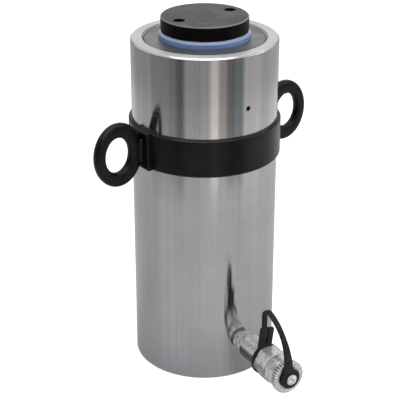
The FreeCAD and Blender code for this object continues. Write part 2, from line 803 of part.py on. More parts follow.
def make_dust_cap():
    """Screw cap with a knurled flange, its gasket, and the rivet that holds the strap."""
    bore = size("cap_bore")
    sleeve = size("cap_radius")
    flange = size("cap_flange_radius")
    groove = size("cap_flange_groove")
    at = size("cap_at")
    flange_at = size("cap_flange_at")
    wall = size("cap_wall_at")
    face = size("cap_face_at")
    chamfer = size("cap_chamfer")
    pin_hole = size("rivet_radius") + size("thread_gap")
    body = turned_body("dust_cap", [
        (bore, at), (sleeve - chamfer, at), (sleeve, at + chamfer),
        (sleeve, flange_at - groove * 2.0), (sleeve - groove, flange_at - groove * 2.0),
        (sleeve - groove, flange_at), (flange - chamfer, flange_at),
        (flange, flange_at + chamfer), (flange, face - chamfer), (flange - chamfer, face),
        (pin_hole, face), (pin_hole, wall), (bore, wall)])
    outline = new_sketch(body, "knurl_outline", "XY_Plane", flange_at)
    draw_circle(outline, flange + size("knurl_radius") / 3.0, NOUGHT, size("knurl_radius"))
    knurl = add_extruded(body, "knurl", outline, "PartDesign::Pocket", face - flange_at,
                         backwards=True)
    add_polar(body, "knurls", knurl, size("knurl_count"))
    face_port(body)

    gasket_at = size("nose_end") + size("ring_gap")
    gasket = turned_body("cap_gasket", [
        (size("gasket_hole"), gasket_at), (size("gasket_radius"), gasket_at),
        (size("gasket_radius"), wall), (size("gasket_hole"), wall)])
    face_port(gasket)

    shank = size("rivet_radius")
    tail = size("rivet_tail_radius")
    tail_top = wall - size("ring_gap")
    tail_end = tail_top - size("rivet_tail_height")
    head_at = face + size("eyelet_thickness") + size("seat_gap") * 3.0
    head = size("rivet_head_radius")
    height = size("rivet_head_height")
    rivet = turned_body("strap_rivet", [
        (NOUGHT, tail_end), (tail, tail_end), (tail, tail_top), (shank, tail_top),
        (shank, head_at), (head, head_at), (head, head_at + height / 3.0),
        (head * 0.85, head_at + height * 0.7), (head * 0.5, head_at + height),
        (NOUGHT, head_at + height)])
    face_port(rivet)


def make_cap_strap():
    """Moulded rubber strap: neck ring, slotted block, arched tape and eyelet.

    Local Z runs out along the port and local Y points up. The tape's middle line goes
    straight up from the block, round a tight bend, and down one long arc that ends
    square to the eyelet.
    """
    values = DIMENSIONS
    at = values["strap_ring_at"]
    width = values["strap_ring_width"]
    hole = values["backnut_radius"] + values["thread_gap"]
    middle = at + width / 2
    out = Vector(0, 0, 1)

    ring = Part.makeCylinder(values["strap_ring_radius"], width, Vector(0, 0, at), out)
    block_width = values["strap_block_width"]
    shift = -values["strap_block_shift"]
    block = Part.makeBox(block_width, values["strap_block_height"], width,
                         Vector(shift - block_width / 2, 0, at))
    corners = [edge for edge in block.Edges if edge.BoundBox.ZLength > width / 2]
    block = block.makeFillet(width / 4, corners)
    slot = Part.makeBox(values["strap_slot_width"], values["strap_block_height"] / 2, width * 2,
                        Vector(shift, values["strap_ring_radius"] + width / 4, at - width / 2))
    slot = slot.common(block)
    slot.translate(Vector(0, 0, width * 0.7))
    lean = Rotation(out, -values["strap_lean"])
    block = block.cut(slot)
    block.Placement = Placement(Vector(), lean)

    half = values["strap_tape_thickness"] / 2
    bend = values["strap_bend"]
    angle = math.radians(values["strap_bend_angle"])
    rise = values["strap_rise"]
    eyelet_at = values["cap_face_at"] + values["seat_gap"] * 2
    end = eyelet_at + values["eyelet_thickness"] / 2
    near = Vector(0, rise, middle + bend)
    long_bend = (end - near.z - bend * math.cos(angle)) / (1 - math.cos(angle))
    far = near - Vector(0, math.sin(angle), math.cos(angle)) * (long_bend - bend)

    def on_arc(centre, radius, turn):
        return centre + Vector(0, math.sin(turn), math.cos(turn)) * radius

    def side_edges(offset):
        """One side of the tape, from the block to the eyelet."""
        root = Vector(0, values["strap_block_height"] * 0.8, middle - offset)
        start = on_arc(near, bend + offset, math.pi)
        top = on_arc(near, bend + offset, (math.pi + angle) / 2)
        change = on_arc(near, bend + offset, angle)
        over = on_arc(far, long_bend + offset, angle / 2)
        last = on_arc(far, long_bend + offset, 0)
        foot = Vector(0, values["rivet_head_radius"], last.z)
        return [Part.LineSegment(root, start), Part.Arc(start, top, change),
                Part.Arc(change, over, last), Part.LineSegment(last, foot)]

    outer = side_edges(half)
    inner = side_edges(-half)
    caps = [Part.LineSegment(outer[0].StartPoint, inner[0].StartPoint),
            Part.LineSegment(outer[-1].EndPoint, inner[-1].EndPoint)]
    edges = [curve.toShape() for curve in outer + inner + caps]
    tape_width = values["strap_tape_width"]
    tape = Part.Face(Part.Wire(Part.__sortEdges__(edges)))
    tape = tape.extrude(Vector(tape_width, 0, 0))
    tape.translate(Vector(shift - tape_width / 2 + tape_width / 4, 0, 0))

    eyelet = Part.makeCylinder(values["eyelet_radius"], values["eyelet_thickness"],
                               Vector(0, 0, eyelet_at), out)
    strap_shape = ring.multiFuse([block, tape, eyelet])
    strap_shape = strap_shape.cut(Part.makeCylinder(hole, width * 3, Vector(0, 0, at - width), out))
    strap_shape = strap_shape.cut(Part.makeCylinder(
        values["rivet_radius"] + values["thread_gap"], values["eyelet_thickness"] * 3,
        Vector(0, 0, eyelet_at - values["eyelet_thickness"]), out))

    strap = doc.addObject("Part::Feature", "cap_strap")
    strap.Label = "cap_strap"
    strap.Shape = strap_shape.removeSplitter().Solids[0]
    strap.Placement = Placement(Vector(0, -port_face.value, values["port_height"]),
                                Rotation(Vector(1, 0, 0), 90))
    subparts.append(strap)


def check_document():
    """Stops if a feature failed or a sub-part has no sound shape."""
    for thing in doc.Objects:
        if "Invalid" in thing.State or "Error" in thing.State:
            raise RuntimeError("feature %s failed: %s" % (thing.Name, thing.State))
    for part in subparts:
        shape = part.Shape
        if shape.isNull() or not shape.isValid():
            raise RuntimeError("sub-part %s has no sound shape" % part.Label)
        if len(shape.Solids) != 1:
            raise RuntimeError("sub-part %s has %d solids" % (part.Label, len(shape.Solids)))


def export_parts():
    os.makedirs("parts", exist_ok=True)
    for part in subparts:
        part.Shape.exportStep(os.path.join("parts", part.Label + ".step"))
        print("%-18s %10.0f mm3" % (part.Label, part.Shape.Volume))


make_barrel()
make_breather_screw()
make_plunger()
make_piston_rings()
make_saddle()
make_gland()
make_gland_rings()
make_lifting_band()
make_lifting_eye("lifting_eye_right", 0)
make_lifting_eye("lifting_eye_left", 180)
make_port_nipple()
make_coupler()
make_coupler_valve()
make_coupler_spring()
make_dust_cap()
make_cap_strap()
doc.recompute()
check_document()
export_parts()
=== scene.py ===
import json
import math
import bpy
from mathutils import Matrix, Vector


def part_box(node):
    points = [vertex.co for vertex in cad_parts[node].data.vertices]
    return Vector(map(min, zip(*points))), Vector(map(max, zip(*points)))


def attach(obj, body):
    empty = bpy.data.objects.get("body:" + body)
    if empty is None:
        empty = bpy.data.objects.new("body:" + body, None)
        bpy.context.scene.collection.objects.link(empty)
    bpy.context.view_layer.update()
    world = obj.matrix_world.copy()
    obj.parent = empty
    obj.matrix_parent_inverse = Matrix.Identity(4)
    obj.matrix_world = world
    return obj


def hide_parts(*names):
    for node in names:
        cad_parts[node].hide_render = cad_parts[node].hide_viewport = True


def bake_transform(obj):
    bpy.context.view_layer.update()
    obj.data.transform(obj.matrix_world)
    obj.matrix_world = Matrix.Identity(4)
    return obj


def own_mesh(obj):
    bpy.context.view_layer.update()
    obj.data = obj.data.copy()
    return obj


bl_info = {
    "name": "Hydraulic cylinder",
    "version": (1, 0, 0),
    "blender": (4, 5, 0),
    "location": "View3D > Sidebar > Cylinder",
    "description": "Finishes the single acting hydraulic cylinder and sets up its studio",
    "category": "Object",
}

import bmesh
import bpy
from mathutils import Matrix, Vector

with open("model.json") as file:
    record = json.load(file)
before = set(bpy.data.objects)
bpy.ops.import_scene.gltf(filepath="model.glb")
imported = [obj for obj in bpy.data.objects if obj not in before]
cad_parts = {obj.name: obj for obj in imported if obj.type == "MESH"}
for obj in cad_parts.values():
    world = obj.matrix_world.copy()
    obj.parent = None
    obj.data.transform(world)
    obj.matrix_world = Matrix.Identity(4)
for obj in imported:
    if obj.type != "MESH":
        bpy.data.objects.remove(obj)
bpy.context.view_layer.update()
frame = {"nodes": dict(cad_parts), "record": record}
MM = 0.001

# The port group is turned about its own axis, which points to -Y at this height
PORT_HEIGHT = 48.0
PORT_TURN = Matrix.Translation((0, 0, PORT_HEIGHT * MM)) @ Matrix.Rotation(math.pi / 2, 4, "X")

# The lifting eyes and the saddle's spanner holes lie on a line turned this far from X
SIDE_TURN = math.radians(6.0)


class Shade:
    """One value in a finish. Sums, differences and products of it add Math nodes."""

    def __init__(self, finish, socket):
        self.finish = finish
        self.socket = socket

    def math(self, operation, first, second=0.0):
        return self.finish.add("ShaderNodeMath", {"operation": operation},
                               {0: first, 1: second})

    def __add__(self, other):
        return self.math("ADD", self, other)

    def __sub__(self, other):
        return self.math("SUBTRACT", self, other)

    def __rsub__(self, other):
        return self.math("SUBTRACT", other, self)

    def __mul__(self, other):
        return self.math("MULTIPLY", self, other)

    def root(self):
        return self.math("SQRT", self)

    def size(self):
        return self.math("ABSOLUTE", self)

    def larger(self, other):
        return self.math("MAXIMUM", self, other)

    def eased(self, low, high, start=0.0, end=1.0):
        """Goes smoothly from start to end as this value goes from low to high."""
        return self.finish.add("ShaderNodeMapRange", {"interpolation_type": "SMOOTHSTEP"},
                               {0: self, 1: low, 2: high, 3: start, 4: end})


class Finish:
    """A material's node tree while it is being put together."""

    def __init__(self, name, tree=None):
        if tree is None:
            self.material = bpy.data.materials.new(name)
            self.material.use_nodes = True
            tree = self.material.node_tree
        self.tree = tree
        self.tree.nodes.clear()

    def add(self, kind, settings=None, inputs=None, output=0):
        """Adds a node: its settings first, then values or links for its sockets."""
        node = self.tree.nodes.new(kind)
        for setting, value in (settings or {}).items():
            setattr(node, setting, value)
        for name, value in (inputs or {}).items():
            if isinstance(value, Shade):
                self.tree.links.new(value.socket, node.inputs[name])
            else:
                node.inputs[name].default_value = value
        return Shade(self, node.outputs[output]) if node.outputs else None

    def place(self):
        """Where a point of the surface is, in metres."""
        return self.add("ShaderNodeTexCoord", output="Object")

    def along(self, axis):
        return self.add("ShaderNodeSeparateXYZ", None, {0: self.place()}, axis)

    def point(self, x=0.0, y=0.0, z=0.0):
        return self.add("ShaderNodeCombineXYZ", None, {0: x, 1: y, 2: z})

    def stretched(self, x, y, z):
        return self.add("ShaderNodeVectorMath", {"operation": "MULTIPLY"},
                        {0: self.place(), 1: (x, y, z)})

    def noise(self, where, scale=1.0, detail=3.0, roughness=0.5, distortion=0.0):
        return self.add("ShaderNodeTexNoise", None, {
            "Vector": where, "Scale": scale, "Detail": detail, "Roughness": roughness,
            "Distortion": distortion})

    def blend(self, share, first, second):
        """Goes from the first colour to the second."""
        return self.add("ShaderNodeMix", {"data_type": "RGBA"},
                        {0: share, 6: first, 7: second}, 2)

    def bump(self, height, depth):
        return self.add("ShaderNodeBump", None,
                        {"Strength": 1.0, "Distance": depth, "Height": height})

    def surface(self, varying, fixed):
        """Closes the finish with one surface shader."""
        settings = dict(fixed)
        settings.update(varying)
        shader = self.add("ShaderNodeBsdfPrincipled", None, settings)
        self.add("ShaderNodeOutputMaterial", None, {"Surface": shader})
        return self.material


def opaque(color):
    return (color[0], color[1], color[2], 1.0)


def slot_color(slot):
    """The base colour that the record gives a material slot."""
    for material in frame["record"]["materials"]:
        if material["slot"] == slot:
            return tuple(material["base_color"][:3])
    raise RuntimeError("the record has no material slot " + slot)


def shaded(color, factor):
    return opaque([part * factor for part in color])


def upright_radius(finish):
    """Distance from the cylinder's own axis."""
    x, y = finish.along(0), finish.along(1)
    return (x * x + y * y).root()


def port_radius(finish):
    """Distance from the port group's axis."""
    x, up = finish.along(0), finish.along(2) - PORT_HEIGHT * MM
    return (x * x + up * up).root()


def gland_groove_shade(finish):
    """Painted shade in the groove between the gland and the barrel."""
    return upright_radius(finish).eased(0.0671, 0.0677)


def rim_corner_shade(finish):
    """Painted shade in the inner corner of the barrel's rim."""
    return 1.0 - upright_radius(finish).eased(0.0691, 0.0704)


def coupler_underside_shade(finish):
    """Painted shade on the lower half of the coupler, strong on the back nut and weaker before
    it.
    """
    below = 1.0 - finish.along(2).eased(0.0505, 0.0550)
    return below * finish.along(1).eased(-0.1300, -0.1290, 0.55, 0.90)


def knurl_groove_shade(finish):
    """Painted shade at the bottom of the grooves in the dust cap's rim."""
    outward = finish.along(1) * -1.0
    inside = outward.eased(0.1744, 0.1750) * (1.0 - outward.eased(0.1798, 0.1804))
    return inside * (1.0 - port_radius(finish).eased(0.0187, 0.0193)) * 0.9


def turned_metal(slot, about, out, rough, grain, polish=0.6, tone=1.0, spots=(26.0, 0.80),
                 painted_shade=None, metal=1.0):
    """Bare metal with tool marks that run round its axis.

    about gives the distance from the axis of turning, and out is the axis along it. Grain is
    the number of tool marks to a metre, spots the number of stains to a metre and their tone,
    painted_shade says where shade is painted on, and metal is less than one for a dull plating.
    """
    finish = Finish(slot + "_finish")
    color = [min(0.95, part * tone) for part in slot_color(slot)]
    marks = finish.noise(finish.point(about(finish) * grain, finish.along(out) * grain, 0.0),
                         1.0, 5.0, 0.65)
    many, stained = spots
    clouds = finish.noise(finish.stretched(many, many, many), 1.0, 4.0, 0.55)
    stain = clouds.eased(0.42, 0.75)
    tint = finish.blend(stain * 0.7 + marks * 0.3, shaded(color, 1.06), shaded(color, stained))
    # Painted shade: a near black blended in where the given mask puts shade.
    if painted_shade:
        tint = finish.blend(painted_shade(finish), tint, opaque((0.035, 0.032, 0.029)))
    return finish.surface(
        {"Base Color": tint,
         "Roughness": stain * 0.10 + marks * 0.12 + (rough - 0.08),
         "Normal": finish.bump(marks, 0.00002)},
        {"Metallic": metal, "Anisotropic": polish, "Anisotropic Rotation": 0.25})


def barrel_hairlines(finish):
    """Short bright scratches that run round the barrel, in a few places."""
    path = finish.noise(finish.stretched(7.0, 7.0, 190.0), 1.0, 2.0, 0.5)
    scratches = 1.0 - (path - 0.5).size().eased(0.0, 0.006)
    sparse = finish.noise(finish.stretched(19.0, 19.0, 19.0), 1.0, 1.0).eased(0.60, 0.70)
    return scratches * sparse


def polished_barrel(slot, settings):
    """Fine turned and polished steel with wiping marks, upright streaks and hairlines. The
    streaks are bumps and also painted reflections that darken the colour.

    The rim is turned but not polished, with a painted lighter top face as lit from above and
    painted shade in its inner corner. The colour is darker and bluer towards the foot.
    """
    finish = Finish(slot + "_finish")
    color = tuple(settings.steel_color)
    height = finish.along(2)
    lathe_marks = finish.noise(finish.point(0.0, 0.0, height * 1400.0), 1.0, 3.0, 0.7)
    bands = finish.noise(finish.point(0.3, 0.7, height * 60.0), 1.0, 2.0, 0.5)
    wiping = finish.noise(finish.stretched(30.0, 30.0, 2.2), 1.0, 4.0, 0.6, 0.3)
    clouds = finish.noise(finish.stretched(15.0, 15.0, 11.0), 1.0, 5.0, 0.6)
    fine = finish.noise(finish.stretched(1100.0, 1100.0, 3.0), 1.0, 3.0, 0.6)
    broad = finish.noise(finish.stretched(170.0, 170.0, 2.0), 1.0, 3.0, 0.6)
    hairs = barrel_hairlines(finish)
    film = clouds.eased(0.40, 0.72) * 0.6 + wiping.eased(0.35, 0.75) * 0.4
    reflection_streaks = fine.eased(0.40, 0.68) * 0.40 + broad.eased(0.35, 0.65) * 0.34
    tint = finish.blend(film, shaded(color, 1.05), shaded(color, 0.86))
    tint = finish.blend(bands.eased(0.35, 0.7) * 0.35, tint, shaded(color, 0.90))
    # Painted reflection: darker upright streaks in the colour.
    tint = finish.blend(reflection_streaks, tint, shaded(color, 0.78))

    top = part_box("barrel")[1].z
    rim = height.eased(top - 0.0006, top - 0.0002)
    rings = finish.noise(finish.point(upright_radius(finish) * 1900.0), 1.0, 3.0, 0.6)
    # Rim top face: real tool rings, painted lighter as lit from above.
    tint = finish.blend(rim, tint, finish.blend(rings, shaded(color, 1.25), shaded(color, 0.95)))
    # Painted shade: near black in the inner corner of the rim.
    tint = finish.blend(rim * rim_corner_shade(finish), tint, opaque((0.03, 0.03, 0.03)))
    # Darker and bluer towards the bottom.
    foot = 1.0 - height.eased(0.0, 0.075)
    tint = finish.blend(foot * 0.40, tint, opaque((0.295, 0.305, 0.355)))

    rough = film * 0.07 + lathe_marks * 0.05 + hairs * 0.12 + rim * 0.26
    relief = lathe_marks + hairs * 2.0 + fine * 2.0 + broad * 7.0
    return finish.surface(
        {"Base Color": tint, "Roughness": rough + (settings.roughness - 0.05),
         "Normal": finish.bump(relief, 0.0000035)},
        {"Metallic": 1.0, "Anisotropic": settings.grain, "Anisotropic Rotation": 0.25})


def ground_chrome(slot):
    """Hard chrome plate, nearly mirror bright, with faint grinding marks."""
    finish = Finish(slot + "_finish")
    color = slot_color(slot)
    marks = finish.noise(finish.point(0.0, 0.0, finish.along(2) * 2500.0), 1.0, 2.0)
    clouds = finish.noise(finish.stretched(20.0, 20.0, 8.0), 1.0, 4.0)
    tint = finish.blend(clouds, shaded(color, 1.0), shaded(color, 0.93))
    return finish.surface(
        {"Base Color": tint,
         "Roughness": clouds * 0.05 + marks * 0.03 + 0.07,
         "Normal": finish.bump(marks, 0.000002)},
        {"Metallic": 1.0, "Anisotropic": 0.3, "Anisotropic Rotation": 0.25})


def black_coat(slot, rough, peel, depth):
    """Sprayed satin paint with orange peel, dust and rubbed places."""
    finish = Finish(slot + "_finish")
    color = slot_color(slot)
    ripple = finish.noise(finish.stretched(peel, peel, peel), 1.0, 2.0, 0.5)
    clouds = finish.noise(finish.stretched(35.0, 35.0, 35.0), 1.0, 5.0, 0.6)
    dust = finish.noise(finish.stretched(900.0, 900.0, 900.0), 1.0, 2.0, 0.5).eased(0.64, 0.74)
    rubbed = clouds.eased(0.45, 0.72)
    tint = finish.blend(rubbed, shaded(color, 0.10), shaded(color, 0.28))
    tint = finish.blend(dust * 0.15, tint, opaque((0.12, 0.12, 0.12)))
    return finish.surface(
        {"Base Color": tint,
         "Roughness": rubbed * 0.14 + dust * 0.2 + (rough - 0.07),
         "Normal": finish.bump(ripple + dust * 0.4, depth)},
        {"Metallic": 0.0, "Specular IOR Level": 0.20})


def oxide_steel(slot):
    """Blackened machined steel: faint tool marks under an oily black skin."""
    finish = Finish(slot + "_finish")
    color = slot_color(slot)
    radius = upright_radius(finish)
    marks = finish.noise(finish.point(radius * 1500.0, finish.along(2) * 1500.0, 0.0), 1.0, 4.0)
    clouds = finish.noise(finish.stretched(42.0, 42.0, 42.0), 1.0, 5.0, 0.62)
    worn = clouds.eased(0.40, 0.70)
    specks = finish.noise(finish.stretched(420.0, 420.0, 420.0), 1.0, 3.0).eased(0.60, 0.70)
    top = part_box("saddle")[1].z
    lit_top_face = finish.along(2).eased(top - 0.0010, top - 0.0004)
    bevel = radius.eased(0.0475, 0.0478) * finish.along(2).eased(top - 0.0016, top - 0.0012)
    face = finish.blend(worn, opaque((0.060, 0.058, 0.054)), opaque((0.140, 0.135, 0.126)))
    face = finish.blend(specks * 0.5, face, opaque((0.05, 0.05, 0.05)))
    # Painted light: the top face is lighter than the near-black sides, as lit from above; its
    # mottling is wear.
    tint = finish.blend(lit_top_face, shaded(color, 0.03), face)
    # Top edge painted light: partly bare worn metal, partly a painted highlight.
    tint = finish.blend(bevel * 0.6, tint, opaque((0.34, 0.33, 0.31)))
    return finish.surface(
        {"Base Color": tint,
         "Roughness": worn * 0.12 + marks * 0.10 + 0.34,
         "Normal": finish.bump(marks, 0.00001)},
        {"Metallic": 0.0, "Specular IOR Level": 0.07})


def moulded_plastic(slot, rough, grain, depth):
    """Cast or moulded plastic with a fine skin and slight clouding."""
    finish = Finish(slot + "_finish")
    color = slot_color(slot)
    skin = finish.noise(finish.stretched(grain, grain, grain), 1.0, 3.0)
    clouds = finish.noise(finish.stretched(60.0, 60.0, 60.0), 1.0, 3.0)
    tint = finish.blend(clouds, shaded(color, 0.88), shaded(color, 1.15))
    return finish.surface(
        {"Base Color": tint, "Roughness": clouds * 0.10 + (rough - 0.05),
         "Normal": finish.bump(skin, depth)}, {"Metallic": 0.0})


def wiper_plastic(slot):
    """Glossy blue plastic, with a painted highlight at its lip and painted shade in the gland."""
    finish = Finish(slot + "_finish")
    color = slot_color(slot)
    height = finish.along(2)
    clouds = finish.noise(finish.stretched(60.0, 60.0, 60.0), 1.0, 3.0)
    tint = finish.blend(clouds, shaded(color, 1.05), shaded(color, 1.5))
    # Painted shade: darker low down, where the wiper sits in the gland.
    tint = finish.blend(height.eased(0.3905, 0.3945), shaded(color, 0.55), tint)
    # Painted highlight: paler along the lip.
    tint = finish.blend(height.eased(0.3968, 0.3984) * 0.4, tint, opaque((0.50, 0.58, 0.78)))
    return finish.surface(
        {"Base Color": tint, "Roughness": clouds * 0.10 + 0.16,
         "Normal": finish.bump(clouds, 0.00001)},
        {"Metallic": 0.0, "Subsurface Weight": 0.08, "Subsurface Scale": 0.002})


def moulded_rubber(slot):
    """Black rubber with a dull skin, talc in places and small pits."""
    finish = Finish(slot + "_finish")
    color = slot_color(slot)
    skin = finish.noise(finish.stretched(1300.0, 1300.0, 1300.0), 1.0, 3.0)
    bloom = finish.noise(finish.stretched(90.0, 90.0, 90.0), 1.0, 4.0).eased(0.42, 0.75)
    tint = finish.blend(bloom, shaded(color, 0.30), shaded(color, 0.72))
    return finish.surface(
        {"Base Color": tint, "Roughness": bloom * 0.15 + 0.45,
         "Normal": finish.bump(skin, 0.00003)},
        {"Metallic": 0.0, "Specular IOR Level": 0.25})


def plated_steel(slot, rough):
    """Bright zinc or nickel plate with a slight haze."""
    finish = Finish(slot + "_finish")
    color = [min(0.92, part * 1.3) for part in slot_color(slot)]
    marks = finish.noise(finish.point(port_radius(finish) * 2200.0,
                                      finish.along(1) * 2200.0, 0.0), 1.0, 3.0)
    haze = finish.noise(finish.stretched(230.0, 230.0, 230.0), 1.0, 4.0).eased(0.4, 0.7)
    tint = finish.blend(haze, shaded(color, 1.06), shaded(color, 0.42))
    return finish.surface(
        {"Base Color": tint, "Roughness": haze * 0.14 + marks * 0.08 + (rough - 0.08),
         "Normal": finish.bump(marks, 0.000012)}, {"Metallic": 1.0})


def make_finish(slot):
    """Builds the finish of one of the record's material slots."""
    barrel = bpy.context.scene.cylinder_barrel
    makers = {
        "polished_barrel": lambda: polished_barrel(slot, barrel),
        "hard_chrome": lambda: ground_chrome(slot),
        "gland_steel": lambda: turned_metal(slot, upright_radius, 2, 0.42, 1300.0, tone=0.42,
                                            painted_shade=gland_groove_shade),
        "bearing_bronze": lambda: turned_metal(slot, upright_radius, 2, 0.34, 1300.0),
        "coupler_steel": lambda: turned_metal(slot, port_radius, 1, 0.32, 1700.0, 0.3, 1.3,
                                              (240.0, 0.40), coupler_underside_shade, 0.65),
        "cap_steel": lambda: turned_metal(slot, port_radius, 1, 0.33, 1900.0, 0.3, 1.05,
                                          (260.0, 0.35), knurl_groove_shade),
        "spring_steel": lambda: turned_metal(slot, port_radius, 1, 0.30, 900.0, 0.0),
        "bright_zinc": lambda: plated_steel(slot, 0.40),
        "black_paint": lambda: black_coat(slot, 0.34, 750.0, 0.00004),
        "screw_steel": lambda: black_coat(slot, 0.40, 1500.0, 0.00001),
        "black_oxide": lambda: oxide_steel(slot),
        "blue_polyurethane": lambda: wiper_plastic(slot),
        "backup_plastic": lambda: moulded_plastic(slot, 0.5, 700.0, 0.00002),
        "wear_plastic": lambda: moulded_plastic(slot, 0.55, 700.0, 0.00003),
        "seal_rubber": lambda: moulded_rubber(slot),
        "strap_rubber": lambda: moulded_rubber(slot),
    }
    if slot not in makers:
        raise RuntimeError("no finish is known for slot " + slot)
    return makers[slot]()


def finish_of(slot):
    return bpy.data.materials.get(slot + "_finish") or make_finish(slot)


def soften_shading(piece, angle=28.0):
    """Smooth shading, with edges sharper than the angle kept crisp."""
    mesh = piece.data
    mesh.polygons.foreach_set("use_smooth", [True] * len(mesh.polygons))
    mesh.set_sharp_from_angle(angle=math.radians(angle))


def dress_node(name, slot):
    """Gives a CAD node, whose shape stays, its finish."""
    piece = frame["nodes"][name]
    piece.data.materials.clear()
    piece.data.materials.append(finish_of(slot))
    soften_shading(piece)


def dress_piece(piece, body, slot, *nodes):
    """Gives a new piece its finish and its body, and hides the nodes that it stands for."""
    piece.data.materials.clear()
    piece.data.materials.append(finish_of(slot))
    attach(piece, body)
    if nodes:
        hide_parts(*nodes)


def new_piece(name, mesh_source):
    mesh = bpy.data.meshes.new(name)
    mesh_source.to_mesh(mesh)
    mesh_source.free()
    piece = bpy.data.objects.new(name, mesh)
    bpy.context.scene.collection.objects.link(piece)
    return piece


def rounded(corners, steps=4):
    """Rounds an outline's corners. Each is (radius, height) or (radius, height, rounding)."""
    points = []
    count = len(corners)
    for index, corner in enumerate(corners):
        here = Vector(corner[:2])
        if len(corner) < 3:
            points.append(here)
            continue
        before = Vector(corners[index - 1][:2]) - here
        after = Vector(corners[(index + 1) % count][:2]) - here
        half = before.angle(after) / 2
        back = min(corner[2] / math.tan(half), before.length * 0.49, after.length * 0.49)
        first = here + before.normalized() * back
        last = here + after.normalized() * back
        for step in range(steps + 1):
            share = step / steps
            first_mix = first.lerp(here, share)
            points.append(first_mix.lerp(here.lerp(last, share), share))
    return points


def turned(name, corners, turn=None, segments=192, ripple=None):
    """Turns a closed outline in millimetres about Z and places it in the row frame."""
    source = bmesh.new()
    rings = []
    for point in rounded(corners):
        if point.x < 1e-6:
            rings.append([source.verts.new((0, 0, point.y * MM))])
            continue
        ring = []
        for index in range(segments):
            angle = 2 * math.pi * index / segments
            radius = point.x if ripple is None else ripple(point.x, point.y, angle)
            ring.append(source.verts.new((radius * MM * math.cos(angle),
                                          radius * MM * math.sin(angle), point.y * MM)))
        rings.append(ring)
    for index, ring in enumerate(rings):
        after = rings[(index + 1) % len(rings)]
        if len(ring) == 1 and len(after) == 1:
            continue
        for step in range(segments):
            last = (step + 1) % segments
            if len(ring) == 1:
                source.faces.new((ring[0], after[last], after[step]))
            elif len(after) == 1:
                source.faces.new((ring[step], ring[last], after[0]))
            else:
                source.faces.new((ring[step], ring[last], after[last], after[step]))
    bmesh.ops.recalc_face_normals(source, faces=source.faces)
    piece = new_piece(name, source)
    if turn is not None:
        piece.data.transform(turn)
    soften_shading(piece)
    return piece


def plug(name, radius, low, high, turn, segments):
    """A plain round body, used to cut a hole."""
    return turned(name, [(0, low), (radius, low), (radius, high), (0, high)], turn, segments)


def skinned(name, source, loops, closed=False):
    """Makes a piece of loops of corners. They close to a ring, or get a face at each end."""
    for loop, after in zip(loops, loops[1:] + (loops[:1] if closed else [])):
        count = len(loop)
        for step in range(count):
            last = (step + 1) % count
            source.faces.new((loop[step], loop[last], after[last], after[step]))
    if not closed:
        source.faces.new(loops[0])
        source.faces.new(loops[-1])
    bmesh.ops.recalc_face_normals(source, faces=source.faces)
    return new_piece(name, source)


def settle(piece):
    """Applies a piece's modifiers to its mesh."""
    evaluated = piece.evaluated_get(bpy.context.evaluated_depsgraph_get())
    mesh = bpy.data.meshes.new_from_object(evaluated)
    piece.modifiers.clear()
    piece.data = mesh


def join(pieces, name):
    """Puts several meshes into one piece."""
    source = bmesh.new()
    for piece in pieces:
        source.from_mesh(piece.data)
        bpy.data.objects.remove(piece)
    return new_piece(name, source)


def cut_away(piece, *cutters):
    """Takes the cutters' shapes out of a piece."""
    for cutter in cutters:
        change = piece.modifiers.new("cut", "BOOLEAN")
        change.operation = "DIFFERENCE"
        change.solver = "EXACT"
        change.object = cutter
        settle(piece)
        bpy.data.objects.remove(cutter)
    soften_shading(piece)


def true_round(piece, radius):
    """Gives the faces on a cylinder about Z the exact normals of that cylinder."""
    mesh = piece.data
    normals = [Vector(corner.vector) for corner in mesh.corner_normals]
    for face in mesh.polygons:
        middle = Vector((face.center.x, face.center.y, 0))
        if abs(face.normal.z) > 0.02 or face.normal.dot(middle.normalized()) < 0.98:
            continue
        for loop in face.loop_indices:
            place = mesh.vertices[mesh.loops[loop].vertex_index].co
            if abs(math.hypot(place.x, place.y) - radius) < 1e-5:
                normals[loop] = Vector((place.x, place.y, 0)).normalized()
    mesh.normals_split_custom_set(normals)


def fuse(piece, voxel, rounds):
    """Melts a joined piece into one skin, with soft inner corners."""
    change = piece.modifiers.new("skin", "REMESH")
    change.mode = "VOXEL"
    change.voxel_size = voxel * MM
    change.use_smooth_shade = True
    change = piece.modifiers.new("ease", "SMOOTH")
    change.factor = 0.5
    change.iterations = rounds
    settle(piece)


class BarrelSettings(bpy.types.PropertyGroup):
    steel_color: bpy.props.FloatVectorProperty(
        name="Steel Colour", description="Colour of the polished barrel",
        subtype="COLOR", size=3, min=0.0, max=1.0, default=(0.518, 0.520, 0.523))
    roughness: bpy.props.FloatProperty(
        name="Roughness", description="How dull the polish is",
        subtype="FACTOR", min=0.0, max=1.0, default=0.16)
    grain: bpy.props.FloatProperty(
        name="Grain", description="How far reflections are drawn out up and down",
        subtype="FACTOR", min=0.0, max=1.0, default=0.82)
    rim_rounding: bpy.props.FloatProperty(
        name="Rim Rounding", description="Radius of the rim's outer corners",
        subtype="DISTANCE", unit="LENGTH", min=0.0001, max=0.002, default=0.0007)


class HeadSettings(bpy.types.PropertyGroup):
    edge_rounding: bpy.props.FloatProperty(
        name="Edge Rounding", description="Radius on the edges of saddle and wiper",
        subtype="DISTANCE", unit="LENGTH", min=0.0001, max=0.002, default=0.0006)


class BandSettings(bpy.types.PropertyGroup):
    weld_size: bpy.props.FloatProperty(
        name="Weld Size", description="Radius of the weld beads at the eyes",
        subtype="DISTANCE", unit="LENGTH", min=0.001, max=0.004, default=0.0020)


class CouplerSettings(bpy.types.PropertyGroup):
    flutes: bpy.props.IntProperty(
        name="Flutes", description="Number of grooves round the dust cap's rim",
        min=12, max=96, default=36)
    flute_depth: bpy.props.FloatProperty(
        name="Flute Depth", description="Depth of the grooves in the cap's rim",
        subtype="DISTANCE", unit="LENGTH", min=0.0, max=0.0015, default=0.0009)
    strap_rounding: bpy.props.FloatProperty(
        name="Strap Rounding", description="Corner radius of the strap's tape",
        subtype="DISTANCE", unit="LENGTH", min=0.0002, max=0.0016, default=0.0011)


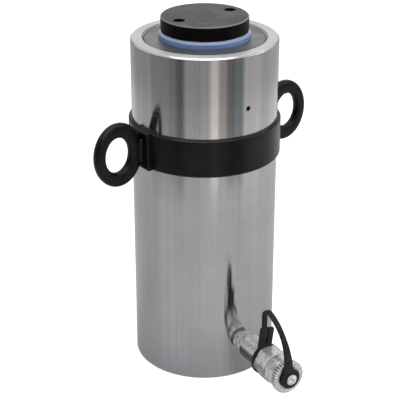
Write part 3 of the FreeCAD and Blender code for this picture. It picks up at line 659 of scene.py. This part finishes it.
class StudioSettings(bpy.types.PropertyGroup):
    floor_color: bpy.props.FloatVectorProperty(
        name="Floor Colour", description="Colour of the floor and the background",
        subtype="COLOR", size=3, min=0.0, max=1.0, default=(0.82, 0.82, 0.82))
    key_power: bpy.props.FloatProperty(
        name="Key Light", description="Power of the large soft light overhead",
        subtype="POWER", unit="POWER", min=0.0, max=500.0, default=26.0)
    side_power: bpy.props.FloatProperty(
        name="Side Light", description="Power of the soft light at the right",
        subtype="POWER", unit="POWER", min=0.0, max=500.0, default=14.0)
    world_level: bpy.props.FloatProperty(
        name="Room Light", description="Level of the even light from all round",
        min=0.0, max=2.0, default=0.30)


class CYLINDER_OT_barrel(bpy.types.Operator):
    """Turns the barrel and sinks its port face and breather hole"""

    bl_idname = "cylinder.barrel"
    bl_label = "Barrel"

    def execute(self, context):
        rim = context.scene.cylinder_barrel.rim_rounding / MM
        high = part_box("barrel")[1]
        radius = high.x / MM
        top = high.z / MM
        bore, thread = 65.0, 68.0
        bore_floor, shoulder = 42.0, 342.0
        port_face, outside = 81.0, 90.0
        barrel = turned("barrel_shell", [
            (0, 0), (radius - 2.0, 0, 0.8), (radius, 2.0, 0.8), (radius, top - 1.7, rim),
            (radius - 1.7, top, rim), (thread + 1.0, top, 0.4), (thread, top - 1.0, 0.4),
            (thread, shoulder), (bore, shoulder), (bore, bore_floor, 4.0), (0, bore_floor)],
            segments=288)
        breather_turn = (Matrix.Translation((0, 0, 0.332))
                         @ Matrix.Rotation(math.radians(3.5), 4, "Z")
                         @ Matrix.Rotation(math.pi / 2, 4, "X"))
        cut_away(
            barrel,
            plug("port_face", 15, port_face, outside, PORT_TURN, 96),
            plug("port_tap", 8.4, 66, port_face + 1, PORT_TURN, 64),
            plug("port_passage", 3.5, 61, 67, PORT_TURN, 48),
            turned("breather_tap", [(0, 72), (2.6, 72), (2.6, 81.9), (3.1, 83), (0, 83)],
                   breather_turn, 48),
        )
        true_round(barrel, radius * MM)
        dress_piece(barrel, "barrel", "polished_barrel", "barrel")
        dress_node("breather_screw", "screw_steel")
        return {"FINISHED"}


class CYLINDER_OT_head(bpy.types.Operator):
    """Makes the saddle and the wiper and finishes plunger and gland"""

    bl_idname = "cylinder.head"
    bl_label = "Saddle, Wiper and Gland"

    def execute(self, context):
        edge = context.scene.cylinder_head.edge_rounding / MM
        bottom, top = 399.6, 416.2
        saddle = turned("saddle_top", [
            (0, 379.6), (24.0, 379.6, 0.8), (24.0, bottom), (47.7, bottom, edge),
            (48.9, bottom + 1.2, edge), (48.9, top - 1.2, edge), (47.7, top, edge), (0, top)])
        holes = []
        for reach in (35 * MM, -35 * MM):
            place = Vector((reach * math.cos(SIDE_TURN), reach * math.sin(SIDE_TURN), 0))
            holes.append(turned("spanner_hole", [
                (0, top - 8), (6.5, top - 8), (6.5, top - 0.4), (6.9, top + 0.2), (0, top + 0.2)],
                Matrix.Translation(place), 64))
        cut_away(saddle, *holes)
        dress_piece(saddle, "plunger", "black_oxide", "saddle")

        inner, outer, foot, lip = 47.58, 51.1, 385.2, 399.2
        wiper = turned("wiper_ring", [
            (inner, foot), (outer, foot), (outer, 397.0, edge), (48.6, lip, edge * 0.5),
            (inner, lip)])
        dress_piece(wiper, "barrel", "blue_polyurethane", "rod_wiper")
        dress_node("plunger", "hard_chrome")
        dress_node("gland_nut", "gland_steel")
        return {"FINISHED"}


class CYLINDER_OT_band(bpy.types.Operator):
    """Forges the two lifting eyes with their welds and finishes the band"""

    bl_idname = "cylinder.band"
    bl_label = "Lifting Band and Eyes"

    def ring(self, foot):
        """An oval ring of rounded section, flat where it stands on its pad."""
        hole, outline = (15.7, 20.4), (30.5, 36.8)
        shift, half_thick, squareness = 1.8, 5.8, 0.72
        source = bmesh.new()
        around, across = 160, 40
        loops = []
        for index in range(around):
            angle = 2 * math.pi * index / around
            inner = Vector((hole[0] * math.cos(angle), hole[1] * math.sin(angle)))
            outer = Vector((outline[0] * math.cos(angle) - shift, outline[1] * math.sin(angle)))
            loop = []
            for step in range(across):
                turn = 2 * math.pi * step / across
                wide = math.copysign(abs(math.cos(turn)) ** squareness, math.cos(turn))
                thick = math.copysign(abs(math.sin(turn)) ** squareness, math.sin(turn))
                spot = inner.lerp(outer, 0.5 + 0.5 * wide)
                loop.append(source.verts.new((max(spot.x, foot) * MM, spot.y * MM,
                                              half_thick * thick * MM)))
            loops.append(loop)
        return skinned("ring", source, loops, closed=True)

    def bead(self, foot, side, size):
        """A weld bead with overlapping ripples, in the corner between ring and pad."""
        length, aside = 27.0, 5.6
        source = bmesh.new()
        rows, across = 120, 16
        loops = []
        for row in range(rows):
            share = row / (rows - 1)
            height = (share - 0.5) * length
            wave = 1.0 + 0.10 * abs(math.sin(share * 26.0)) + 0.05 * math.sin(share * 9.0 + side)
            taper = min(1.0, math.sin(math.pi * min(max(share, 0.004), 0.996)) * 3.0) ** 0.5
            radius = size * wave * taper
            loop = []
            for step in range(across):
                turn = 2 * math.pi * step / across
                loop.append(source.verts.new((
                    (foot + 0.5 + radius * math.cos(turn)) * MM, height * MM,
                    (side * aside + radius * math.sin(turn)) * MM)))
            loops.append(loop)
        return skinned("bead", source, loops)

    def execute(self, context):
        size = context.scene.cylinder_band.weld_size / MM
        reach, height, pad = 120.0, 279.6, 90.4
        foot = pad - reach
        for name, half_turn in (("lifting_eye_right", 0.0), ("lifting_eye_left", math.pi)):
            eye = join([self.ring(foot), self.bead(foot, 1, size), self.bead(foot, -1, size)],
                       name + "_forged")
            fuse(eye, 0.75, 4)
            for corner in eye.data.vertices:
                corner.co.x = max(corner.co.x, foot * MM)
            turn = Matrix.Rotation(SIDE_TURN + half_turn, 4, "Z")
            eye.data.transform(turn @ Matrix.Translation((reach * MM, 0, height * MM))
                               @ Matrix.Rotation(math.pi / 2, 4, "X"))
            dress_piece(eye, "barrel", "black_paint", name)
        dress_node("lifting_band", "black_paint")
        return {"FINISHED"}


class CYLINDER_OT_coupler(bpy.types.Operator):
    """Makes the dust cap and its rivet and finishes nipple and coupler"""

    bl_idname = "cylinder.coupler"
    bl_label = "Coupler and Dust Cap"

    def execute(self, context):
        settings = context.scene.cylinder_coupler
        flutes = settings.flutes
        depth = settings.flute_depth / MM

        # Profiles are radius and distance along the port's axis, in millimetres
        flange_start, flange_core = 174.2, 18.0

        def fluted(radius, height, angle):
            if height < flange_start or radius < flange_core:
                return radius
            wave = math.cos(flutes * angle) * 0.5 + 0.5
            return radius - depth * wave ** 3

        cap = turned("dust_cap_turned", [
            (15.8, 158.0, 0.3), (16.9, 158.0, 0.3), (17.8, 158.9, 0.3), (17.8, 172.4, 0.2),
            (17.0, 172.4, 0.2), (17.0, 174.0, 0.2), (18.5, 174.0, 0.3), (19.4, 174.9, 0.3),
            (19.4, 180.1, 0.3), (18.5, 181.0, 0.4), (13.4, 181.0, 0.2), (13.0, 180.6, 0.2),
            (3.1, 180.6), (3.1, 177.0), (15.8, 177.0)], PORT_TURN, flutes * 12, fluted)
        dress_piece(cap, "dust_cap", "cap_steel", "dust_cap")

        head = 185.5
        rivet = turned("strap_rivet_domed", [
            (0, 176.2), (5.0, 176.2), (5.0, 176.9), (3.0, 176.9), (3.0, head),
            (6.3, head, 0.2), (6.3, head + 0.9, 0.5), (5.4, head + 1.8, 1.2),
            (3.2, head + 2.5, 2.0), (0, head + 2.6)], PORT_TURN, 96)
        dress_piece(rivet, "cap_carrier", "bright_zinc", "strap_rivet")
        for node in ("port_nipple", "coupler_poppet"):
            dress_node(node, "bright_zinc")
        for node in ("coupler_backnut", "coupler_body"):
            dress_node(node, "coupler_steel")
        return {"FINISHED"}


class CYLINDER_OT_strap(bpy.types.Operator):
    """Moulds the rubber strap that holds the dust cap"""

    bl_idname = "cylinder.strap"
    bl_label = "Cap Strap"

    def centre_line(self):
        """The tape's middle: straight up, a tight and a wide arc, and straight down."""
        tight, wide = Vector((57.0, 142.6)), Vector((12.67, 128.62))
        meeting = math.radians(72.5)
        line = [Vector((30.0 + 27.0 * step / 12, 134.6)) for step in range(12)]
        for centre, radius, start, end, steps in (
                (tight, 8.0, math.pi, meeting, 24), (wide, 54.48, meeting, 0.0, 44)):
            for step in range(steps + 1):
                turn = start + (end - start) * step / steps
                line.append(centre + Vector((math.sin(turn), math.cos(turn))) * radius)
        line.append(Vector((6.3, 183.1)))
        return line

    def tape(self, corner):
        """The tape's rounded section drawn along its middle. Local Z is out, Y is up."""
        line = self.centre_line()
        half_thick, shift, count = 1.7, -2.875, len(line)
        source = bmesh.new()
        loops = []
        for index, spot in enumerate(line):
            ahead = (line[min(index + 1, count - 1)] - line[max(index - 1, 0)]).normalized()
            across = Vector((ahead.y, -ahead.x))
            share = index / (count - 1)
            half_wide = 3.25 + 2.6 * max(0.0, share - 0.72) / 0.28
            loop = []
            for quarter, (side_x, side_t) in enumerate(((1, 1), (-1, 1), (-1, -1), (1, -1))):
                for step in range(5):
                    turn = math.radians(90 * quarter + 90 * step / 4)
                    x = side_x * (half_wide - corner) + corner * math.cos(turn)
                    t = side_t * (half_thick - corner) + corner * math.sin(turn)
                    place = spot + across * t
                    loop.append(source.verts.new(((x + shift) * MM, place.x * MM,
                                                  place.y * MM)))
            loops.append(loop)
        return skinned("tape", source, loops)

    def tab(self, low_x, high_x, foot, top, shift):
        """One half of the block over the neck ring, with eased corners."""
        ring_middle, thickness = 134.6, 5.0
        source = bmesh.new()
        bmesh.ops.create_cube(source, size=1.0)
        size = Vector((high_x - low_x, top - foot, thickness))
        middle = Vector(((high_x + low_x) / 2, (top + foot) / 2, ring_middle + shift))
        for corner in source.verts:
            corner.co = Vector((corner.co.x * size.x + middle.x, corner.co.y * size.y + middle.y,
                                corner.co.z * size.z + middle.z)) * MM
        bmesh.ops.bevel(source, geom=source.edges[:], offset=1.0 * MM, segments=3,
                        affect="EDGES", profile=0.5)
        return new_piece("tab", source)

    def execute(self, context):
        corner = context.scene.cylinder_coupler.strap_rounding / MM
        bore, ring_back, ring_front = 14.6, 132.0, 137.2
        eyelet_back, eyelet_front, rivet_hole = 181.3, 184.9, 3.1
        lean = Matrix.Rotation(math.radians(-8.0), 4, "Z")
        tabs = [self.tab(-13.0, -5.3, 12.0, 40.0, 0.0), self.tab(-3.7, 4.0, 12.0, 40.0, 0.1),
                self.tab(-7.0, -2.0, 12.0, 20.5, 0.0)]
        for tab in tabs:
            tab.data.transform(lean)
        neck = turned("neck", [
            (bore, ring_back, 0.6), (18.6, ring_back, 1.0), (18.6, ring_front, 1.0),
            (bore, ring_front, 0.6)], None, 96)
        eyelet = turned("eyelet", [
            (rivet_hole, eyelet_back, 0.5), (12.0, eyelet_back, 1.0), (12.0, eyelet_front, 1.2),
            (rivet_hole, eyelet_front, 0.5)], None, 96)
        strap = join([neck, eyelet, self.tape(corner)] + tabs, "cap_strap_moulded")
        fuse(strap, 0.55, 3)
        cut_away(strap, plug("hole", bore, 128, 142, None, 128))
        strap.data.transform(PORT_TURN)
        strap.data.materials.clear()
        strap.data.materials.append(finish_of("strap_rubber"))
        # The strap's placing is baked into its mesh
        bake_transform(strap)
        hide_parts("cap_strap")
        return {"FINISHED"}


class CYLINDER_OT_inner(bpy.types.Operator):
    """Finishes the rings, seals and the spring that the cylinder holds inside"""

    bl_idname = "cylinder.inner"
    bl_label = "Inner Pieces"

    def execute(self, context):
        for node, slot in (
            ("piston_seal", "blue_polyurethane"), ("backup_ring", "backup_plastic"),
            ("piston_wear_ring", "wear_plastic"), ("rod_bearing", "bearing_bronze"),
            ("gland_seal", "seal_rubber"), ("coupler_seal", "seal_rubber"),
            ("cap_gasket", "seal_rubber"),
        ):
            dress_node(node, slot)
        coils = bmesh.new()
        coils.from_mesh(frame["nodes"]["coupler_spring"].data)
        spring = new_piece("coupler_spring_wound", coils)
        dress_piece(spring, "barrel", "spring_steel", "coupler_spring")
        soften_shading(spring)
        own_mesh(spring)
        return {"FINISHED"}


class CYLINDER_OT_studio(bpy.types.Operator):
    """Sets up floor, lights, reflected screen and camera"""

    bl_idname = "cylinder.studio"
    bl_label = "Studio"

    def ray(self, finish, kind):
        """One for rays of a kind and nought for all others."""
        return finish.add("ShaderNodeLightPath", output=kind)

    def floor(self, settings):
        source = bmesh.new()
        bmesh.ops.create_grid(source, x_segments=1, y_segments=1, size=9.0)
        floor = new_piece("studio_floor", source)
        just_below = -0.0002
        floor.location.z = just_below
        finish = Finish("studio_floor")
        paper = finish.add("ShaderNodeBsdfDiffuse", None, {"Color": opaque(settings.floor_color)})
        glow = finish.add("ShaderNodeEmission", None, {"Color": (1, 1, 1, 1), "Strength": 0.75})
        lit = finish.add("ShaderNodeAddShader", None, {0: paper, 1: glow})
        mixed = finish.add("ShaderNodeMixShader", None,
                           {0: self.ray(finish, "Is Camera Ray"), 1: paper, 2: lit})
        finish.add("ShaderNodeOutputMaterial", None, {"Surface": mixed})
        floor.data.materials.append(finish.material)

    def room(self, settings):
        world = bpy.data.worlds.new("studio_room")
        world.use_nodes = True
        bpy.context.scene.world = world
        finish = Finish("studio_room", world.node_tree)
        level = settings.world_level
        even = finish.add("ShaderNodeBackground", None,
                          {"Color": (1, 1, 1, 1), "Strength": level})
        white = finish.add("ShaderNodeBackground", None, {"Color": (1, 1, 1, 1), "Strength": 1.0})
        bare = self.ray(finish, "Is Camera Ray").larger(self.ray(finish, "Is Glossy Ray"))
        mixed = finish.add("ShaderNodeMixShader", None, {0: bare, 1: even, 2: white})
        finish.add("ShaderNodeOutputWorld", None, {"Surface": mixed})

    def lamp(self, name, place, aim, width, height, power):
        light = bpy.data.lights.new(name, "AREA")
        light.shape = "RECTANGLE"
        light.size = width
        light.size_y = height
        light.energy = power
        lamp = bpy.data.objects.new(name, light)
        bpy.context.scene.collection.objects.link(lamp)
        lamp.location = place
        lamp.rotation_euler = (Vector(aim) - Vector(place)).to_track_quat("-Z", "Y").to_euler()

    def screen(self, ahead, bands):
        """A curved upright screen of soft grey bands that only shiny surfaces see.

        Ahead is the camera's direction in degrees. A band has its first and last angle from
        there, its grey and its warmth.
        """
        reach, low, high, fade, steps = 0.45, 0.09, 0.52, 2.5, 6
        source = bmesh.new()
        tone = source.verts.layers.float_color.new("tone")
        columns = []
        for first, last, grey, warmth in bands:
            for step in range(steps + 1):
                share = step / steps
                angle = math.radians(ahead + (first + fade) * (1 - share) + (last - fade) * share)
                foot = (reach * math.cos(angle), reach * math.sin(angle))
                column = [source.verts.new(foot + (z,)) for z in (low, high)]
                for spot in column:
                    spot[tone] = (grey * (1 + warmth), grey, grey * (1 - warmth / 2), 1)
                columns.append(column)
        for one, other in zip(columns, columns[1:]):
            source.faces.new((one[0], other[0], other[1], one[1]))
        screen = new_piece("reflected_screen", source)
        finish = Finish("reflected_screen")
        painted = finish.add("ShaderNodeVertexColor", {"layer_name": "tone"})
        level = finish.along(2).eased(0.165, 0.225, 1.2, 0.74)
        lit = finish.add("ShaderNodeVectorMath", {"operation": "SCALE"},
                         {0: painted, "Scale": level})
        glow = finish.add("ShaderNodeEmission", None, {"Color": lit, "Strength": 1.0})
        finish.add("ShaderNodeOutputMaterial", None, {"Surface": glow})
        screen.data.materials.append(finish.material)
        screen.visible_camera = False
        screen.visible_diffuse = False
        screen.visible_shadow = False

    def execute(self, context):
        settings = context.scene.cylinder_studio
        self.floor(settings)
        self.room(settings)
        self.lamp("overhead_light", (-0.5, -0.6, 2.0), (0, 0, 0.2), 2.2, 2.2,
                  settings.key_power)
        self.lamp("side_light", (1.6, -0.9, 0.9), (0, 0, 0.2), 1.2, 1.2, settings.side_power)
        self.screen(-121.0, (
            (-150, -128, 0.66, 0.0), (-128, -102, 0.55, 0.0), (-102, -84, 0.55, -0.01),
            (-84, -68, 0.42, -0.01), (-68, -54, 0.41, 0.0), (-54, -41, 0.32, 0.0),
            (-41, -29, 0.16, 0.0), (-29, -16, 0.53, 0.0), (-16, -4, 0.50, 0.01),
            (-4, 8, 0.55, 0.02), (8, 19, 1.05, 0.08), (19, 31, 0.50, 0.08),
            (31, 44, 0.23, 0.05), (44, 57, 0.31, -0.10), (57, 90, 0.76, 0.05),
            (90, 108, 0.66, 0.04), (108, 150, 0.76, 0.0)))
        # The camera that was fitted to the photograph
        view = bpy.data.cameras.new("photo_camera")
        view.lens = 110.2
        view.sensor_width = 36.0
        view.clip_end = 50.0
        camera = bpy.data.objects.new("photo_camera", view)
        context.scene.collection.objects.link(camera)
        camera.location = (-0.6760, -1.1149, 0.7891)
        camera.rotation_euler = (math.radians(65.434), 0.0, math.radians(-31.0))
        context.scene.camera = camera
        context.scene.view_settings.view_transform = "Standard"
        return {"FINISHED"}


class VIEW3D_PT_cylinder(bpy.types.Panel):
    """Lists the cylinder's pieces and their settings"""

    bl_label = "Hydraulic Cylinder"
    bl_space_type = "VIEW_3D"
    bl_region_type = "UI"
    bl_category = "Cylinder"

    def draw(self, context):
        scene = context.scene
        for operator, settings, names in PANEL_ROWS:
            box = self.layout.box()
            box.operator(operator)
            for name in names:
                box.prop(getattr(scene, settings), name)


PANEL_ROWS = (
    ("cylinder.barrel", "cylinder_barrel", ("steel_color", "roughness", "grain", "rim_rounding")),
    ("cylinder.head", "cylinder_head", ("edge_rounding",)),
    ("cylinder.band", "cylinder_band", ("weld_size",)),
    ("cylinder.coupler", "cylinder_coupler", ("flutes", "flute_depth")),
    ("cylinder.strap", "cylinder_coupler", ("strap_rounding",)),
    ("cylinder.inner", "cylinder_head", ()),
    ("cylinder.studio", "cylinder_studio",
     ("floor_color", "key_power", "side_power", "world_level")),
)

SETTINGS = {
    "cylinder_barrel": BarrelSettings,
    "cylinder_head": HeadSettings,
    "cylinder_band": BandSettings,
    "cylinder_coupler": CouplerSettings,
    "cylinder_studio": StudioSettings,
}

CLASSES = tuple(SETTINGS.values()) + (
    CYLINDER_OT_barrel,
    CYLINDER_OT_head,
    CYLINDER_OT_band,
    CYLINDER_OT_coupler,
    CYLINDER_OT_strap,
    CYLINDER_OT_inner,
    CYLINDER_OT_studio,
    VIEW3D_PT_cylinder,
)


def register():
    for item in CLASSES:
        bpy.utils.register_class(item)
    for name, group in SETTINGS.items():
        setattr(bpy.types.Scene, name, bpy.props.PointerProperty(type=group))


def unregister():
    for name in SETTINGS:
        delattr(bpy.types.Scene, name)
    for item in reversed(CLASSES):
        bpy.utils.unregister_class(item)


def main():
    register()
    bpy.ops.cylinder.barrel()
    bpy.ops.cylinder.head()
    bpy.ops.cylinder.band()
    bpy.ops.cylinder.coupler()
    bpy.ops.cylinder.strap()
    bpy.ops.cylinder.inner()
    bpy.ops.cylinder.studio()


if __name__ == "__main__":
    main()
